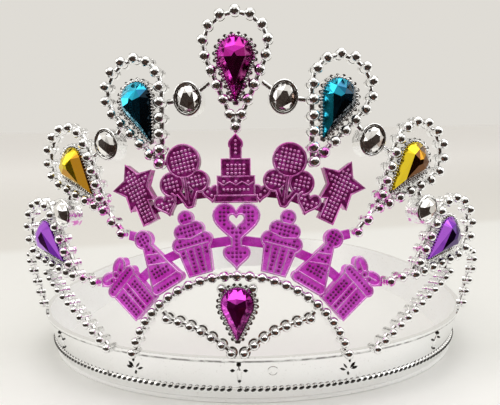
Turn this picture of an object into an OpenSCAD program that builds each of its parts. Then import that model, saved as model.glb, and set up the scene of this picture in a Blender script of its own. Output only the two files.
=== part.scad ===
// Birthday crown: a chromed band with a wall of bead work, a studded magenta frieze
// and eight drop stones. Front of the crown towards -Y, origin on the table under the
// middle of the whole crown. Left and right are as seen from the front.

/* [Band] */
// Width of the band over its top edge
band_w = 150; // [130:1:170]
// Reach of the band's top edge in front of its widest line
band_front = 65.7; // [64:0.1:68]
// Reach of the band's top edge behind its widest line
band_back = 114.5; // [105:0.5:120]
// Height of the band
band_h = 14.8; // [14:0.2:16]
// Thickness of the band between its lips
band_t = 1.2; // [1:0.1:1.6]
// How far the bottom edge lies inside the top edge
band_inset = 3.5; // [2:0.5:4]
// How far the lips and the ridge stand out from the band's face
lip = 0.5; // [0.3:0.1:0.7]
// Height of the ridge that carries the rope of small beads
ridge_z = 4.6; // [4:0.1:6]

/* [Wall of the bead work] */
// Backward slope of the wall at the front, in millimetres per millimetre of height
wall_slope = 0.131; // [0.12:0.001:0.14]
// How far the middles of the bead domes stand in front of the wall
wall_stand = 1.5; // [1.4:0.1:1.8]

/* [Beads] */
// Diameter of a bead's dome
bead_d = 3; // [2.8:0.1:3]
// Diameter of the post behind the dome
post_d = 2.7; // [2.2:0.1:2.7]
// Depth of a bead from the middle of its dome to its back
bead_depth = 3.4; // [3.2:0.1:3.6]
// Depth of a bead on the outer strands
outer_depth = 2; // [1.8:0.1:2.4]
// Thickness of the disc at the back of a bead
heel_t = 1.3; // [0.8:0.1:1.3]
// Diameter of the stubs that join the beads
stub_d = 1.6; // [1.2:0.1:1.6]
// Diameter of a dome in the petals
petal_dome_d = 3.3; // [3:0.1:3.3]
// Diameter of a dome on the diagonal strands
diagonal_dome_d = 2.7; // [2.5:0.1:2.8]
// Diameter of a dome on the swag below the pendant
swag_dome_d = 2.6; // [2.4:0.1:2.7]
// Diameter of the disc behind a dome on the swag
swag_heel_d = 3.3; // [3:0.1:3.4]

/* [Petals] */
// Radius of a petal's round head
loop_r = 9.2; // [9:0.1:9.4]
// Distance between the beads of a petal
loop_pitch = 4.45; // [4.4:0.01:4.5]
// Turn of the round head before its sides run straight, in degrees
loop_turn = 113; // [112:1:114]
// Distance of the single bead at a petal's tip below the middle of its head
loop_end = 23.2; // [23:0.1:23.5]
// Height of the middle of a petal's stone below the middle of its head
stone_drop = 7.1; // [6.8:0.1:7.4]

/* [Stones] */
// Length of a petal's drop stone
drop_l = 17.8; // [17:0.1:18]
// Width of a petal's drop stone
drop_w = 9.6; // [9.3:0.1:10]
// Thickness of a drop stone
drop_t = 4.2; // [3.8:0.1:4.6]
// Length of the pendant's drop stone
pendant_l = 14; // [13.6:0.1:14.2]
// Width of the pendant's drop stone
pendant_w = 8.7; // [8.5:0.1:9]
// Height of the middle of the pendant above the table
pendant_z = 27.2; // [27:0.1:27.3]
// Width of the wall of a setting round its stone
setting_wall = 1; // [0.9:0.1:1.2]
// Depth of a setting
setting_t = 2.9; // [2.6:0.1:3]
// Diameter of a setting's teeth
tooth_d = 1.1; // [0.9:0.1:1.2]
// Number of teeth along each side of a setting
teeth = 12; // [10:1:14]
// Width of an oval stone
oval_w = 6.6; // [6:0.1:7]
// Height of an oval stone
oval_h = 8.1; // [7.6:0.1:8.4]
// Thickness of an oval stone
oval_t = 2.7; // [2.4:0.1:3.2]
// Depth of an oval stone's cup
cup_t = 4.6; // [4:0.1:5]
// Clearance round every stone and between neighbouring pieces
gap = 0.1; // [0.08:0.01:0.12]

/* [Arch and frieze] */
// Height of the point round which arch and frieze are bent
fan_z = 5.8; // [5.6:0.1:6]
// Radius of the bead arch
arch_r = 32; // [31.8:0.1:32.2]
// Beads in the arch
arch_beads = 25; // [25:2:25]
// Radius of the middle of the frieze's lower row
low_r = 42.8; // [42.7:0.1:42.9]
// Radius of the middle of the frieze's upper row
high_r = 61.1; // [61:0.1:61.2]
// Angle between the motifs of the lower row
low_step = 16.6; // [16.4:0.1:16.8]
// Angle between the motifs of the upper row
high_step = 13.8; // [13.6:0.1:14]
// Thickness of a motif
motif_t = 2.6; // [2.2:0.1:2.8]
// Thickness of the flat webs that join the motifs
web_t = 1; // [0.8:0.1:1.2]
// Width of the flat webs
web_w = 2.6; // [2:0.1:3]

/* [Hidden] */
$fn = 32;
silver = "gainsboro";
magenta = "mediumvioletred";

half_w = band_w / 2;
bead_r = bead_d / 2;
// Step from the edge of a dome in to the edge of the disc behind it
heel_step = 0.2;
heel_r = bead_r - heel_step;
mid_depth = -bead_depth / 2;
// Distance of the widest line in front of the middle of the whole crown
widest_y = -23;

// Wall of the bead work: an oval that slopes back with height, unrolled so that a place
// on it is a distance along the oval from the middle, a height and a stand in front
ruler_z = 50;
function reach(z) = band_front - wall_slope * (z - band_h);
function ruler_step(a) = PI / 180 * norm([half_w * cos(a), reach(ruler_z) * sin(a)]);
ruler = [for (a = 0, s = 0; a <= 110; s = s + ruler_step(a + 1), a = a + 2) [s * 2, a]];
function turn_at(s) = sign(s) * lookup(abs(s), ruler);
function azimuth(s, z) = let (a = turn_at(s)) atan2(sin(a) / half_w, cos(a) / reach(z));
function place(s, z, stand = wall_stand) = let (a = turn_at(s), n = azimuth(s, z))
    [half_w * sin(a) + stand * sin(n), widest_y - reach(z) * cos(a) - stand * cos(n), z];
function lean(n) = -atan(wall_slope * cos(n) ^ 2);

// A pose is a place, the azimuth that it faces, its lean and its turn in its own plane
function wall_pose(s, z, turn = 0, stand = wall_stand) = let (n = azimuth(s, z))
    [place(s, z, stand), n, lean(n), turn];
function fan_pose(a, r) = wall_pose(r * sin(a), fan_z + r * cos(a), a);
module at(pose) {
    translate(pose[0]) rotate([90 + pose[2], 0, pose[1]]) rotate(-pose[3]) children();
}
function spot(pose, u, v, w = 0) = let (t = pose[3], n = pose[1], k = pose[2],
    a = u * cos(t) + v * sin(t), b = v * cos(t) - u * sin(t),
    up = b * cos(k) - w * sin(k), out = b * sin(k) + w * cos(k))
    pose[0] + [a * cos(n) + out * sin(n), a * sin(n) - out * cos(n), up];
function core(pose, depth = bead_depth) = spot(pose, 0, 0, -depth / 2);

// Petals
//   place of the middle of the head, azimuth, lean, turn
PETAL_TOP = [[0, -77.3, 101.3], 0, -7.7, 0];
PETAL_BLUE = [[30.3, -74.5, 89.1], 19.8, -8.9, 26.3];
PETAL_YELLOW = [[54.3, -63, 69.5], 33.1, -4.4, 48.9];
PETAL_PURPLE = [[66.3, -56.1, 45.4], 42.4, -1.1, 59.9];

// Oval stones between the petals
//   distance along the wall, height, turn
OVAL_HIGH = wall_pose(13.2, 86.4, 9);
OVAL_MIDDLE = wall_pose(39, 74, 29);
OVAL_LOW = wall_pose(59.2, 52.7, 51);

// Beads of the loose strands
//   distance along the wall, height, stand in front of the wall
LINK_BEADS = [[37.2, 51.5, 1.5], [34, 48.3, 1.5]];
TIP_BEADS = [[48.7, 34, 1.5], [44.4, 33.3, 1.5]];
OUTER_BEADS = [[90.5, 16.6, 1], [90.5, 20.6, 1.8], [90.3, 24.6, 2.8], [90, 28.6, 3.8],
    [88.9, 32.2, 4.3], [86.3, 35.1, 4.2], [83, 36.6, 3.6]];
function strand_poses(table) = [for (b = table) wall_pose(b[0], b[1], 0, b[2])];

// Ends of the bowed strands
//   distance along the wall, height
SWAG_ENDS = [[20, 25.3], [1.8, 16.5]];
DIAGONAL_ENDS = [[39.8, 14.6], [71.8, 31.6]];
swag_bow = -1.5;
swag_beads = 7;
diagonal_bow = 1.2;
diagonal_beads = 12;

// The lowest beads of arch and diagonals hang in front of the band's top edge
foot_z = DIAGONAL_ENDS[0][1];
foot_turn = acos((foot_z - fan_z) / arch_r);

// Places along a bowed line on the wall, the first of them a little further out
function bowed(ends, bow, n) = let (v = ends[1] - ends[0], side = [-v[1], v[0]] / norm(v))
    [for (i = [0:n - 1]) let (t = i / (n - 1), p = ends[0] + v * t
        + side * bow * 4 * t * (1 - t)) [p[0], p[1], wall_stand + (i == 0 ? gap : 0)]];

// Points of a petal's loop at a distance from the top of its head
loop_arc = loop_r * loop_turn * PI / 180;
function loop_point(d) = let (m = min(abs(d), loop_arc), a = m / loop_r * 180 / PI,
    rest = abs(d) - m)
    [sign(d) * (loop_r * sin(a) + rest * cos(loop_turn)),
        loop_r * cos(a) - rest * sin(loop_turn)];
loop_side = 8;
function loop_spot(pose, i) = let (p = loop_point(i * loop_pitch))
    spot(pose, p[0], p[1], mid_depth);
function tip_spot(pose) = spot(pose, 0, -loop_end, mid_depth);

// A bead: a dome on a post with a disc at its back, its axis square to the wall
module bead(dome = bead_r, heel = heel_r, depth = bead_depth) {
    sphere(dome);
    translate([0, 0, -depth]) cylinder(h = depth, d = post_d);
    translate([0, 0, -depth]) cylinder(h = heel_t, r = heel);
}

module rod(a, b) {
    v = b - a;
    translate(a) rotate([0, acos(v[2] / norm(v)), atan2(v[1], v[0])])
        cylinder(h = norm(v), d = stub_d);
}

// Rod from one bead's middle that stops just short of the post of another piece's bead
tie_gap = 0.5;
function short_of(bead_at, from) = bead_at + (from - bead_at)
    / norm(from - bead_at) * (post_d / 2 + tie_gap);
module tie(a, b) {
    rod(a, short_of(b, a));
}

// A strand of beads through a list of poses, joined by stubs at the middle of their depth
module strand(poses, dome = bead_r, heel = heel_r, depth = bead_depth) {
    for (p = poses) at(p) bead(dome, heel, depth);
    for (i = [1:len(poses) - 1]) rod(core(poses[i - 1], depth), core(poses[i], depth));
}

// Room for the band's top edge behind the dome of a bead that stands on it
module band_room(pose) {
    room = 2 * bead_depth;
    at([pose[0], pose[1], 0, 0])
        translate([-room / 2, band_h + gap - pose[0][2] - room, -bead_r - room]) cube(room);
}

function pear(l, w, grow = 0, n = 14) = let (r = w / 2, dip = asin(r / (l - r)),
    tip = grow * 0.6)
    concat([for (i = [0:n]) let (a = -dip + i * (180 + 2 * dip) / n)
        [(r + grow) * cos(a), l / 2 - r + (r + grow) * sin(a)]],
        grow > 0 ? [[-tip, -l / 2 - grow], [tip, -l / 2 - grow]] : [[0, -l / 2]]);

function oval(w, h, n = 24) = [for (i = [0:n - 1]) let (a = i * 360 / n)
    [w / 2 * cos(a), h / 2 * sin(a)]];

function raised(points, z) = [for (p = points) [p[0], p[1], z]];

module cut_stone(points) {
    hull() polyhedron(points, [[for (i = [0:len(points) - 1]) i]]);
}

// Corners of a drop stone's crown, as parts of its half width, half length and height
//   across, along, rise
DROP_CROWN = [[0, 0.68, 0.78], [0.56, 0.62, 0.7], [-0.56, 0.62, 0.7],
    [0.62, 0.34, 0.78], [-0.62, 0.34, 0.78], [0, -0.5, 0.74],
    [0, 0.46, 1], [0.16, 0.33, 1], [-0.16, 0.33, 1], [0, 0.14, 1]];
girdle = 0.3;

module drop_stone(l, w, t) {
    outline = pear(l, w);
    crown = [for (c = DROP_CROWN)
        [c[0] * w / 2, c[1] * l / 2, t * (girdle + c[2] * (1 - girdle))]];
    cut_stone(concat(raised(outline, 0), raised(outline, girdle * t), crown));
}

// Corners of an oval stone's crown: rings of six as parts of its width, height and depth
//   size, rise, turn
OVAL_CROWN = [[0.74, 0.8, 30], [0.38, 1, 0]];

module oval_stone(w, h, t) {
    outline = oval(w, h, 12);
    crown = [for (c = OVAL_CROWN, i = [0:5]) let (a = c[2] + 60 * i)
        [c[0] * w / 2 * cos(a), c[0] * h / 2 * sin(a), c[1] * t]];
    cut_stone(concat(raised(outline, 0), raised(outline, girdle * t), crown));
}

// Place of a tooth, counted from the top of the stone down one side to its tip
function tooth_place(l, w, i, side) = let (r = w / 2, dip = asin(r / (l - r)),
    out = r + setting_wall + tooth_d * 0.1, turn = 90 + dip, run = (l - r) * cos(dip),
    arc = out * turn * PI / 180, d = i / teeth * (arc + run),
    m = min(d, arc), a = m / out * 180 / PI, rest = d - m)
    [side * (out * sin(a) - rest * sin(dip)), l / 2 - r + out * cos(a) - rest * cos(dip)];

// A drop stone's setting: a cup with a milled edge of small teeth
seat = 0.6;
seat_z = setting_t - seat - bead_depth;
module drop_setting(l, w) {
    translate([0, 0, -bead_depth]) difference() {
        linear_extrude(setting_t) {
            polygon(pear(l, w, setting_wall));
            for (side = [-1, 1], i = [0:teeth - 1])
                translate(tooth_place(l, w, i + 0.5, side)) circle(d = tooth_d);
        }
        translate([0, 0, setting_t - seat]) linear_extrude(2 * seat)
            polygon(pear(l, w, gap));
    }
}

module petal(pose) {
    beads = [for (i = [-loop_side:loop_side]) loop_point(i * loop_pitch)];
    stubs = raised(beads, mid_depth);
    tip = [0, -loop_end];
    dome = petal_dome_d / 2;
    color(silver) at(pose) {
        for (p = beads) translate(p) bead(dome, dome - heel_step);
        for (i = [1:len(beads) - 1]) rod(stubs[i - 1], stubs[i]);
        translate(tip) bead(dome, dome - heel_step);
        for (i = [0, len(beads) - 1]) rod(stubs[i], [tip[0], tip[1], mid_depth]);
        translate([0, -stone_drop, 0]) drop_setting(drop_l, drop_w);
    }
}

module drop(pose) {
    at(pose) translate([0, -stone_drop, seat_z + gap / 2]) drop_stone(drop_l, drop_w, drop_t);
}

// Cup of an oval stone, with rods towards the petals beside it
cup_wall = 0.8;
cup_seat = 0.9;
module cup(pose, ends) {
    color(silver) difference() {
        union() {
            at(pose) translate([0, 0, -cup_t]) linear_extrude(cup_t)
                polygon(oval(oval_w + 2 * cup_wall, oval_h + 2 * cup_wall));
            for (e = ends) tie(core(pose), e);
        }
        at(pose) translate([0, 0, -cup_seat]) linear_extrude(2 * cup_seat)
            polygon(oval(oval_w + 2 * gap, oval_h + 2 * gap));
    }
}

module stone_in_cup(pose) {
    color("silver") at(pose) translate([0, 0, gap / 2 - cup_seat])
        oval_stone(oval_w, oval_h, oval_t);
}

// Band: an oval hoop with a leaning face, swept through stations round the oval
//   distance out from the face, height
BAND_SECTION = [[-band_t, 0], [0, 0], [lip, 0.3], [lip, 1], [0, 1.5],
    [0, ridge_z - lip], [lip, ridge_z], [0, ridge_z + lip],
    [0, band_h - 1.6], [lip, band_h - 1.2], [lip, band_h], [-band_t, band_h]];
stations = 96;
function face_out(z) = -lip - band_inset * (1 - z / band_h);
function band_point(turn, out, z) = let (r = cos(turn) > 0 ? band_front : band_back,
    n = atan2(sin(turn) / half_w, cos(turn) / r), d = out + face_out(z))
    [half_w * sin(turn) + d * sin(n), widest_y - r * cos(turn) - d * cos(n), z];

module hoop() {
    corners = len(BAND_SECTION);
    points = [for (i = [0:stations - 1], c = BAND_SECTION)
        band_point(i * 360 / stations, c[0], c[1])];
    faces = [for (i = [0:stations - 1], j = [0:corners - 1])
        let (k = (i + 1) % stations, l = (j + 1) % corners,
            a = i * corners + j, b = i * corners + l,
            c = k * corners + l, d = k * corners + j) each [[a, b, c], [a, c, d]]];
    polyhedron(points, faces);
}

// Marks on the inside of the band at the back: a raised ring and a small hole
//   turn round the oval, height, diameter
RING_MARK = [-153, 8.4, 9];
HOLE_MARK = [168, 9.6, 4.4];
ring_t = 1;
module on_band(mark) {
    p = band_point(mark[0], -band_t, mark[1]);
    n = atan2(sin(mark[0]) / half_w, cos(mark[0]) / band_back);
    translate(p) rotate([90 + atan(band_inset / band_h), 0, n]) children();
}

module band() {
    color(silver) difference() {
        union() {
            hoop();
            on_band(RING_MARK) difference() {
                translate([0, 0, -ring_t]) cylinder(h = 1.6 * ring_t, d = RING_MARK[2]);
                translate([0, 0, -2 * ring_t])
                    cylinder(h = 2 * ring_t, d = RING_MARK[2] - 2 * ring_t);
            }
        }
        on_band(HOLE_MARK) cylinder(h = 8 * band_t, d = HOLE_MARK[2], center = true);
    }
}

module arch() {
    step = 2 * foot_turn / (arch_beads - 1);
    feet = [for (a = [-foot_turn, foot_turn])
        wall_pose(arch_r * sin(a), foot_z, 0, wall_stand + gap)];
    inner = [for (i = [1:arch_beads - 2]) let (a = i * step - foot_turn)
        wall_pose(arch_r * sin(a), fan_z + arch_r * cos(a))];
    color(silver) difference() {
        strand(concat([feet[0]], inner, [feet[1]]));
        for (f = feet) band_room(f);
    }
}

module swag_right() {
    poses = strand_poses(bowed(SWAG_ENDS, swag_bow, swag_beads));
    from = core(poses[0]);
    meeting = 45;
    color(silver) difference() {
        union() {
            strand(poses, swag_dome_d / 2, swag_heel_d / 2);
            tie(from, core(fan_pose(meeting, arch_r)));
        }
        band_room(poses[swag_beads - 1]);
    }
}

module diagonal_strand_right() {
    poses = strand_poses(bowed(DIAGONAL_ENDS, diagonal_bow, diagonal_beads));
    color(silver) difference() {
        union() {
            strand(poses, diagonal_dome_d / 2);
            tie(core(poses[diagonal_beads - 1]), loop_spot(PETAL_PURPLE, 5));
        }
        band_room(poses[0]);
    }
}

module link_strand_right() {
    poses = strand_poses(LINK_BEADS);
    color(silver) {
        strand(poses);
        tie(core(poses[0]), tip_spot(PETAL_YELLOW));
    }
}

module tip_strand_right() {
    poses = strand_poses(TIP_BEADS);
    color(silver) {
        strand(poses);
        tie(core(poses[0]), tip_spot(PETAL_PURPLE));
    }
}

module outer_strand_right() {
    color(silver) strand(strand_poses(OUTER_BEADS), bead_r, heel_r, outer_depth);
}

// Pendant under the arch, with a small bead on each shoulder of its setting
PENDANT = wall_pose(0, pendant_z);
shoulder = [4.3, 7.1];
module pendant_setting() {
    color(silver) at(PENDANT) {
        drop_setting(pendant_l, pendant_w);
        for (side = [-1, 1]) translate([side * shoulder[0], shoulder[1], 0])
            bead(swag_dome_d / 2, swag_dome_d / 2);
    }
}

module pendant_stone() {
    color("mediumvioletred") at(PENDANT) translate([0, 0, seat_z + gap / 2])
        drop_stone(pendant_l, pendant_w, drop_t);
}

// Motifs of the frieze, drawn about the middle of their row, the fan's outside upwards
foot = -9;
module pill(w, h) {
    square([w - h, h], center = true);
    for (side = [-1, 1]) translate([side * (w - h) / 2, 0]) circle(d = h);
}

// Cake with a candle, from the plate up
//   width, bottom, height
CAKE_TIERS = [[11.6, -9, 1.8], [10.2, -7.3, 5.4], [7.8, -2, 4.8], [3, 2.7, 3.2]];
FLAME = [[-1.6, 7.6], [1.6, 7.6], [0, 9.7]];
module cake() {
    for (t = CAKE_TIERS) translate([-t[0] / 2, t[1]]) square([t[0], t[2]]);
    translate([0, 6.9]) circle(d = 3.6);
    polygon(FLAME);
}

// Bunch of balloons with their strings
//   across, up, radius
BALLOONS = [[-0.8, 4, 4.6], [3.8, -1.6, 3.3], [-3.8, -2.4, 2.9]];
string_w = 1.3;
module balloons() {
    for (b = BALLOONS) {
        translate([b[0], b[1]]) circle(b[2]);
        polygon([[b[0] - string_w / 2, b[1]], [-string_w / 2, foot], [string_w / 2, foot],
            [b[0] + string_w / 2, b[1]]]);
    }
    translate([0, foot + string_w]) circle(string_w);
}

// Star on a stick
star_r = 7.1;
star_dent = 0.54;
star_up = 2;
stick_w = 4.4;
module star() {
    translate([0, star_up]) polygon([for (i = [0:9]) star_r
        * (i % 2 == 0 ? 1 : star_dent) * [sin(36 * i), cos(36 * i)]]);
    translate([-stick_w / 2, foot]) square([stick_w, star_up - foot]);
}

// Two hearts, one hanging from the other
//   width, up
HEARTS = [[12.8, 4.2], [7.2, -5.3]];
function heart(w) = [for (t = [0:9:351]) w / 32 * [16 * sin(t) ^ 3,
    13 * cos(t) - 5 * cos(2 * t) - 2 * cos(3 * t) - cos(4 * t)]];
module hearts() {
    difference() {
        union() {
            for (h = HEARTS) translate([0, h[1]]) polygon(heart(h[0]));
            translate([-1.3, HEARTS[1][1]]) square([2.6, HEARTS[0][1] - HEARTS[1][1] - 3]);
        }
        translate([0, HEARTS[0][1] + 0.3]) polygon(heart(HEARTS[0][0] * 0.36));
    }
}

// Cupcake: a paper cup, swirls of icing and a cherry
//   width, height, up
ICING = [[11.4, 4.4, 0], [8.4, 4.2, 3.4]];
PAPER_CUP = [[-3.4, -9], [3.4, -9], [4.6, -1], [-4.6, -1]];
module cupcake() {
    polygon(PAPER_CUP);
    for (s = ICING) translate([0, s[2]]) pill(s[0], s[1]);
    translate([0, 7]) circle(2);
}

// Party hat with a brim and a pompom
HAT = [[-4.7, -6.6], [4.7, -6.6], [0.8, 5.6], [-0.8, 5.6]];
pompom_up = 6.6;
module party_hat() {
    polygon(HAT);
    translate([0, -7.6]) pill(10.4, 2.8);
    translate([0, pompom_up]) circle(2.5);
}

// Gift box with a lid and a bow of two loops
BOX = [[-4.6, -9], [4.6, -9], [5, 1], [-5, 1]];
bow_loop = [2.6, 5.4];
module gift() {
    polygon(BOX);
    translate([0, 2]) pill(11.4, 3);
    translate([0, 4.4]) circle(1.5);
    for (side = [-1, 1]) translate([side * bow_loop[0], bow_loop[1]]) rotate(side * 20)
        polygon(oval(5.4, 3.6));
}

module motif(pose) {
    at(pose) translate([0, 0, -motif_t]) linear_extrude(motif_t) children();
}

// Flat web between two points at the backs of two motifs
web_depth = web_t / 2 - motif_t;
high_web_up = -5.5;
low_web_up = -1;
module web(a, b) {
    v = b - a;
    translate(a) rotate([0, acos(v[2] / norm(v)), atan2(v[1], v[0])])
        translate([-web_w / 2, -web_t / 2, 0]) cube([web_w, web_t, norm(v)]);
}
module webs(poses, up) {
    for (i = [1:len(poses) - 1])
        web(spot(poses[i - 1], 0, up, web_depth), spot(poses[i], 0, up, web_depth));
}
module tab(pose, u, v, bead_at) {
    from = spot(pose, u, v, web_depth);
    web(from, short_of(bead_at, from));
}

// Small hearts low between the upper row's motifs, on the webs
//   steps along the row, width
SMALL_HEARTS = [[0.5, 5], [1.5, 6.6]];
small_heart_up = -6;
module small_hearts() {
    for (h = SMALL_HEARTS) motif(fan_pose(h[0] * high_step, high_r))
        translate([0, small_heart_up]) polygon(heart(h[1]));
}

module frieze_upper() {
    poses = [for (i = [0:2]) fan_pose(i * high_step, high_r)];
    color(magenta) {
        motif(poses[0]) cake();
        for (side = [0, 1]) mirror([side, 0, 0]) {
            webs(poses, high_web_up);
            small_hearts();
            motif(poses[1]) balloons();
            motif(poses[2]) star();
        }
    }
}

module frieze_lower() {
    poses = [for (i = [0:3]) fan_pose(i * low_step, low_r)];
    link = strand_poses(LINK_BEADS);
    tip = strand_poses(TIP_BEADS);
    color(magenta) {
        motif(poses[0]) hearts();
        for (side = [0, 1]) mirror([side, 0, 0]) {
            webs(poses, low_web_up);
            motif(poses[1]) cupcake();
            motif(poses[2]) party_hat();
            motif(poses[3]) gift();
            tab(poses[2], 0, pompom_up, core(link[1]));
            tab(poses[3], bow_loop[0] + 1.7, bow_loop[1], core(tip[1]));
        }
    }
}

module petal_top() { petal(PETAL_TOP); }
module drop_pink() { color("deeppink") drop(PETAL_TOP); }
module petal_blue_right() { petal(PETAL_BLUE); }
module drop_blue_right() { color("deepskyblue") drop(PETAL_BLUE); }
module petal_yellow_right() { petal(PETAL_YELLOW); }
module drop_yellow_right() { color("gold") drop(PETAL_YELLOW); }
module petal_purple_right() { petal(PETAL_PURPLE); }
module drop_purple_right() { color("blueviolet") drop(PETAL_PURPLE); }
module cup_high_right() {
    cup(OVAL_HIGH, [loop_spot(PETAL_TOP, 5.5), loop_spot(PETAL_BLUE, -5)]);
}
module cup_middle_right() {
    cup(OVAL_MIDDLE, [loop_spot(PETAL_BLUE, 5), loop_spot(PETAL_YELLOW, -5)]);
}
module cup_low_right() {
    cup(OVAL_LOW, [loop_spot(PETAL_YELLOW, 5), loop_spot(PETAL_PURPLE, -4)]);
}
module oval_high_right() { stone_in_cup(OVAL_HIGH); }
module oval_middle_right() { stone_in_cup(OVAL_MIDDLE); }
module oval_low_right() { stone_in_cup(OVAL_LOW); }

// The left half mirrors the right one
module swag_left() { mirror([1, 0, 0]) swag_right(); }
module petal_blue_left() { mirror([1, 0, 0]) petal_blue_right(); }
module petal_yellow_left() { mirror([1, 0, 0]) petal_yellow_right(); }
module petal_purple_left() { mirror([1, 0, 0]) petal_purple_right(); }
module drop_blue_left() { mirror([1, 0, 0]) drop_blue_right(); }
module drop_yellow_left() { mirror([1, 0, 0]) drop_yellow_right(); }
module drop_purple_left() { mirror([1, 0, 0]) drop_purple_right(); }
module cup_high_left() { mirror([1, 0, 0]) cup_high_right(); }
module cup_middle_left() { mirror([1, 0, 0]) cup_middle_right(); }
module cup_low_left() { mirror([1, 0, 0]) cup_low_right(); }
module oval_high_left() { mirror([1, 0, 0]) oval_high_right(); }
module oval_middle_left() { mirror([1, 0, 0]) oval_middle_right(); }
module oval_low_left() { mirror([1, 0, 0]) oval_low_right(); }
module link_strand_left() { mirror([1, 0, 0]) link_strand_right(); }
module tip_strand_left() { mirror([1, 0, 0]) tip_strand_right(); }
module diagonal_strand_left() { mirror([1, 0, 0]) diagonal_strand_right(); }
module outer_strand_left() { mirror([1, 0, 0]) outer_strand_right(); }

band();
arch();
swag_left();
swag_right();
pendant_setting();
pendant_stone();
frieze_upper();
frieze_lower();
petal_top();
petal_blue_left();
petal_blue_right();
petal_yellow_left();
petal_yellow_right();
petal_purple_left();
petal_purple_right();
drop_pink();
drop_blue_left();
drop_blue_right();
drop_yellow_left();
drop_yellow_right();
drop_purple_left();
drop_purple_right();
cup_high_left();
cup_high_right();
cup_middle_left();
cup_middle_right();
cup_low_left();
cup_low_right();
oval_high_left();
oval_high_right();
oval_middle_left();
oval_middle_right();
oval_low_left();
oval_low_right();
link_strand_left();
link_strand_right();
tip_strand_left();
tip_strand_right();
diagonal_strand_left();
diagonal_strand_right();
outer_strand_left();
outer_strand_right();
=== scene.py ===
from math import asin, atan, atan2, copysign, cos, degrees, hypot, pi, radians, sin

import bmesh
import bpy
from mathutils import Matrix, Vector
from mathutils.bvhtree import BVHTree


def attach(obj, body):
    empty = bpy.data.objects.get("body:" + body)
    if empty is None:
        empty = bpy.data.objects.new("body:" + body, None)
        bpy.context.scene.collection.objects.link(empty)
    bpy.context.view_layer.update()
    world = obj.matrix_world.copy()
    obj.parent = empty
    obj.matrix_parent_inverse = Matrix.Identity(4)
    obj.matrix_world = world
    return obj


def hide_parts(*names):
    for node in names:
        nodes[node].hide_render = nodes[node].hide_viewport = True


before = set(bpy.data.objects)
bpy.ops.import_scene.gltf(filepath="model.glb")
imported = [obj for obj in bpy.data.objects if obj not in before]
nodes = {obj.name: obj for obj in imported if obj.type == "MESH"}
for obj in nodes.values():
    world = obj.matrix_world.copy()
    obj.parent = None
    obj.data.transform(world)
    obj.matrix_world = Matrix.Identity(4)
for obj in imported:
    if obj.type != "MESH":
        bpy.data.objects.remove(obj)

bpy.context.view_layer.update()


# The band is the hoop that the crown stands on, moulded in plastic and plated in bright silver.
# Its face leans outwards, with a lip along the foot, a ridge for a rope of beads and a lip
# along the top. At the back it has a raised ring and a small round hole.
half_width = 0.075
widest_y = -0.023
front_reach = 0.0657
back_reach = 0.1145
band_height = 0.0148
wall = 0.0012
face_inset = 0.0035
lip = 0.0005
foot_height = 0.0014
ridge_height = 0.0046
top_lip_height = 0.0136
edge_round = 0.00012
stations = 192
hole_turn, hole_height, hole_size = radians(168), 0.0096, 0.0044
drill_length = 0.01
ring_turn, ring_height, ring_size, ring_wire = radians(-153), 0.0084, 0.009, 0.0005
# distance out from the leaning face, height
band_section = [(-wall, 0), (0, 0), (lip, 0.0003), (lip, 0.001), (0, 0.0015), (0, 0.0041),
                (lip, ridge_height), (0, 0.0051), (0, 0.0132), (lip, top_lip_height),
                (lip, band_height), (-wall, band_height)]
bright_silver = (0.97, 0.98, 0.985, 1)
warm_silver = (0.93, 0.925, 0.915, 1)
dull_speck = (0.62, 0.6, 0.58, 1)
lip_shade_grey = (0.13, 0.125, 0.12, 1)


def face_out(height):
    """How far the leaning face stands out from the hoop's outline at a height."""
    return -lip - face_inset * (1 - height / band_height)


def hoop_reach(turn):
    """The outline is two half ovals: a shallow one in front and a deep one at the back."""
    return front_reach if cos(turn) > 0 else back_reach


def band_frame(turn, height, out=0.0):
    """Where the band's face is at a turn from the middle of the front, with its own three
    directions: along the band, up the face and out of it."""
    reach = hoop_reach(turn)
    facing = atan2(sin(turn) / half_width, cos(turn) / reach)
    away = Vector((sin(facing), -cos(facing), 0))
    along = Vector((cos(facing), sin(facing), 0))
    up = (away * face_inset / band_height + Vector((0, 0, 1))).normalized()
    square = along.cross(up)
    point = Vector((half_width * sin(turn), widest_y - reach * cos(turn), height))
    point += away * face_out(height) + square * out
    spot = Matrix((along, up, square)).transposed().to_4x4()
    spot.translation = point
    return spot


def take(*pieces):
    """Selects these pieces and nothing else, and makes the first of them active."""
    for thing in bpy.context.selected_objects:
        thing.select_set(False)
    for piece in pieces:
        piece.select_set(True)
    bpy.context.view_layer.objects.active = pieces[0]


def edit(piece):
    """Opens one piece for shaping, with nothing on it selected."""
    take(piece)
    bpy.ops.object.mode_set(mode="EDIT")
    bpy.ops.mesh.select_mode(type="VERT")
    bpy.ops.mesh.select_all(action="DESELECT")


def close_edit():
    bpy.ops.object.mode_set(mode="OBJECT")


def every(corner):
    return True


def pick(piece, wanted=every):
    """Selects the corners of the piece, open in edit mode, whose place the test wants."""
    shape = bmesh.from_edit_mesh(piece.data)
    for corner in shape.verts:
        corner.select = wanted(corner)
    shape.select_flush_mode()
    bmesh.update_edit_mesh(piece.data)


def stretch(piece, factors, wanted=every, about=(0, 0, 0)):
    """Stretches the wanted corners of the piece, open in edit mode, about a point."""
    pick(piece, wanted)
    bpy.ops.transform.resize(value=factors, center_override=about)


def settle(piece, angle=60):
    """Puts the place of a piece into its mesh, turns its faces out and smooths its curves."""
    take(piece)
    bpy.ops.object.transform_apply(location=True, rotation=True, scale=True)
    bpy.ops.object.mode_set(mode="EDIT")
    bpy.ops.mesh.select_all(action="SELECT")
    bpy.ops.mesh.remove_doubles(threshold=1e-6)
    bpy.ops.mesh.normals_make_consistent(inside=False)
    bpy.ops.object.mode_set(mode="OBJECT")
    bpy.ops.object.shade_smooth_by_angle(angle=radians(angle))


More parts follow.
